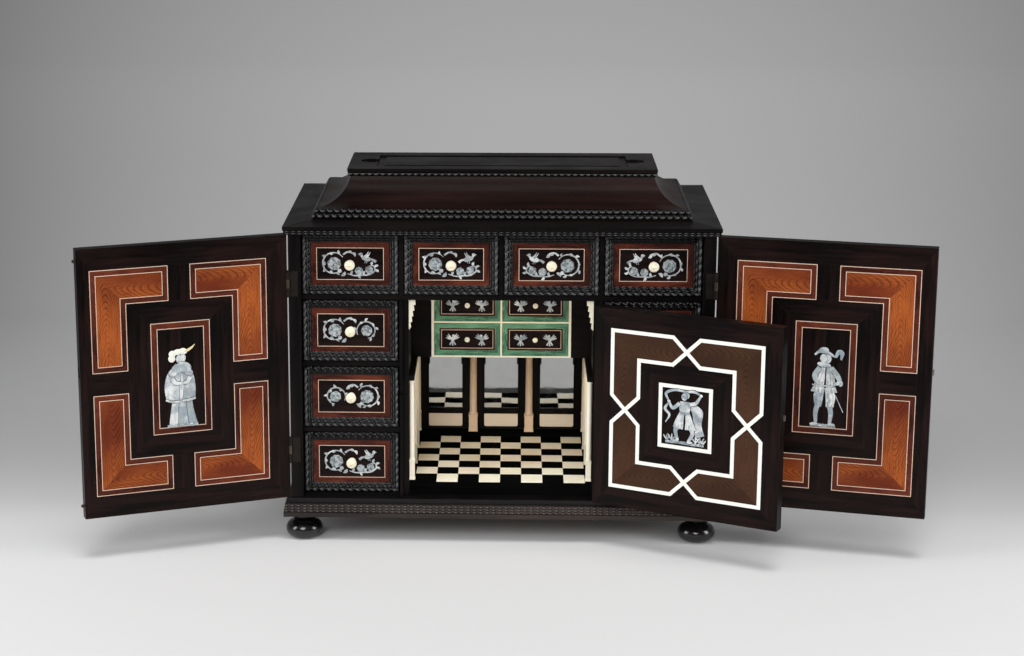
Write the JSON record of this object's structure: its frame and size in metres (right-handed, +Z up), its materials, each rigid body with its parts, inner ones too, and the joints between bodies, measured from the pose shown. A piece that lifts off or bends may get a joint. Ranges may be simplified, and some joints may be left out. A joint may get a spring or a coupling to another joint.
{
  "type": "table cabinet",
  "caption": "Ebony table cabinet on bun feet with a stepped coved hood, two folding doors, inlaid drawers and a mirrored niche behind a centre door.",
  "frame": {"origin": "on the surface that it stands on, under the middle of the carcass", "axes": "+X to the right as seen from the front, +Y to the back, +Z up"},
  "size_m": [1.0784, 0.4389, 0.4804],
  "materials": {
    "ebony_veneer": "polished black-brown ebony",
    "red_hardwood": "polished dark red-brown hardwood",
    "pale_carcass_wood": "plain oiled oak or pine",
    "bone": null,
    "ebony_tile": "polished ebony",
    "mirror_glass": "old silvered glass",
    "brass": "aged brass",
    "lock_steel": "dark iron",
    "drawer_wood": "plain cedar or oak",
    "drawer_front_ebony": "ebony with a red-brown border, thin bone string, mother-of-pearl scrolls and a bone knob",
    "small_drawer_wood": "green-stained border, red-brown inner border and bone knob"
  },
  "bodies": {
    "cabinet": {"back_board": "pale_carcass_wood", "bottom_board": "pale_carcass_wood", "bun_feet": "ebony_veneer", "cap_frame": "ebony_veneer", "centre_hinge_pins": "brass", "corner_brackets": "bone", "cornice_moulding": "ebony_veneer", "divider_boards": "ebony_veneer", "fixed_hinge_plates": "brass", "floor_tiles_dark": "ebony_tile", "floor_tiles_pale": "bone", "hood_cove": "red_hardwood", "hood_ripple": "ebony_veneer", "hood_slope": "ebony_veneer", "mirror_panes": "mirror_glass", "niche_back": "ebony_veneer", "niche_columns": "bone", "niche_floor": "ebony_veneer", "niche_plaques": "bone", "niche_walls": "ebony_veneer", "plinth_moulding": "ebony_veneer", "shelf_board": "ebony_veneer", "side_boards": "ebony_veneer", "small_case": "ebony_veneer", "top_board": "ebony_veneer", "well_tray": "pale_carcass_wood"},
    "left_door": {"left_door_leaf": "ebony_veneer", "left_door_metalwork": "brass"},
    "right_door": {"right_door_leaf": "ebony_veneer", "right_door_metalwork": "brass"},
    "right_bolt": {"right_lock_bolt": "lock_steel"},
    "centre_door": {"centre_door_leaf": "ebony_veneer", "centre_hinge_plates": "brass"},
    "centre_bolt": {"centre_lock_bolt": "lock_steel"},
    "lid": {"well_lid": "ebony_veneer"},
    "top_drawer_a": {"top_drawer_a_box": "drawer_wood", "top_drawer_a_front": "drawer_front_ebony"},
    "top_drawer_b": {"top_drawer_b_box": "drawer_wood", "top_drawer_b_front": "drawer_front_ebony"},
    "top_drawer_c": {"top_drawer_c_box": "drawer_wood", "top_drawer_c_front": "drawer_front_ebony"},
    "top_drawer_d": {"top_drawer_d_box": "drawer_wood", "top_drawer_d_front": "drawer_front_ebony"},
    "left_drawer_low": {"left_drawer_low_box": "drawer_wood", "left_drawer_low_front": "drawer_front_ebony"},
    "left_drawer_mid": {"left_drawer_mid_box": "drawer_wood", "left_drawer_mid_front": "drawer_front_ebony"},
    "left_drawer_high": {"left_drawer_high_box": "drawer_wood", "left_drawer_high_front": "drawer_front_ebony"},
    "right_drawer_low": {"right_drawer_low_box": "drawer_wood", "right_drawer_low_front": "drawer_front_ebony"},
    "right_drawer_mid": {"right_drawer_mid_box": "drawer_wood", "right_drawer_mid_front": "drawer_front_ebony"},
    "right_drawer_high": {"right_drawer_high_box": "drawer_wood", "right_drawer_high_front": "drawer_front_ebony"},
    "small_drawer_lower_left": {"small_drawer_lower_left": "small_drawer_wood"},
    "small_drawer_lower_right": {"small_drawer_lower_right": "small_drawer_wood"},
    "small_drawer_upper_left": {"small_drawer_upper_left": "small_drawer_wood"},
    "small_drawer_upper_right": {"small_drawer_upper_right": "small_drawer_wood"}
  },
  "joints": [
    {"name": "left_door_hinge", "type": "hinge", "parent": "cabinet", "child": "left_door", "pos_m": [-0.274, -0.15325, 0], "axis": [0, 0, -1], "range_deg": [-157.9, 17]},
    {"name": "right_door_hinge", "type": "hinge", "parent": "cabinet", "child": "right_door", "pos_m": [0.274, -0.15325, 0], "axis": [0, 0, 1], "range_deg": [-166, 9]},
    {"name": "centre_door_hinge", "type": "hinge", "parent": "cabinet", "child": "centre_door", "pos_m": [0.1266, -0.1504, 0], "axis": [0, 0, 1], "range_deg": [-153.91, 8.35]},
    {"name": "right_bolt_slide", "type": "slide", "parent": "right_door", "child": "right_bolt", "axis": [0.9703, -0.2419, 0], "range_m": [-0.0022, 0.0015]},
    {"name": "centre_bolt_slide", "type": "slide", "parent": "centre_door", "child": "centre_bolt", "axis": [0.898, -0.4399, 0], "range_m": [-0.0022, 0.0012]},
    {"name": "lid_lift", "type": "slide", "parent": "cabinet", "child": "lid", "axis": [0, 0, 1], "range_m": [0, 0.06]},
    {"name": "top_drawer_a_slide", "type": "slide", "parent": "cabinet", "child": "top_drawer_a", "axis": [0, -1, 0], "range_m": [0, 0.2]},
    {"name": "top_drawer_b_slide", "type": "slide", "parent": "cabinet", "child": "top_drawer_b", "axis": [0, -1, 0], "range_m": [0, 0.2]},
    {"name": "top_drawer_c_slide", "type": "slide", "parent": "cabinet", "child": "top_drawer_c", "axis": [0, -1, 0], "range_m": [0, 0.2]},
    {"name": "top_drawer_d_slide", "type": "slide", "parent": "cabinet", "child": "top_drawer_d", "axis": [0, -1, 0], "range_m": [0, 0.2]},
    {"name": "left_drawer_low_slide", "type": "slide", "parent": "cabinet", "child": "left_drawer_low", "axis": [0, -1, 0], "range_m": [0, 0.2]},
    {"name": "left_drawer_mid_slide", "type": "slide", "parent": "cabinet", "child": "left_drawer_mid", "axis": [0, -1, 0], "range_m": [0, 0.2]},
    {"name": "left_drawer_high_slide", "type": "slide", "parent": "cabinet", "child": "left_drawer_high", "axis": [0, -1, 0], "range_m": [0, 0.2]},
    {"name": "right_drawer_low_slide", "type": "slide", "parent": "cabinet", "child": "right_drawer_low", "axis": [0, -1, 0], "range_m": [0, 0.012]},
    {"name": "right_drawer_mid_slide", "type": "slide", "parent": "cabinet", "child": "right_drawer_mid", "axis": [0, -1, 0], "range_m": [0, 0.012]},
    {"name": "right_drawer_high_slide", "type": "slide", "parent": "cabinet", "child": "right_drawer_high", "axis": [0, -1, 0], "range_m": [0, 0.012]},
    {"name": "small_drawer_lower_left_slide", "type": "slide", "parent": "cabinet", "child": "small_drawer_lower_left", "axis": [0, -1, 0], "range_m": [0, 0.085]},
    {"name": "small_drawer_lower_right_slide", "type": "slide", "parent": "cabinet", "child": "small_drawer_lower_right", "axis": [0, -1, 0], "range_m": [0, 0.085]},
    {"name": "small_drawer_upper_left_slide", "type": "slide", "parent": "cabinet", "child": "small_drawer_upper_left", "axis": [0, -1, 0], "range_m": [0, 0.085]},
    {"name": "small_drawer_upper_right_slide", "type": "slide", "parent": "cabinet", "child": "small_drawer_upper_right", "axis": [0, -1, 0], "range_m": [0, 0.085]}
  ],
  "couplings": [
    {"joint": "centre_door_hinge", "follows": "right_door_hinge", "ratio": 0.92711}
  ]
}
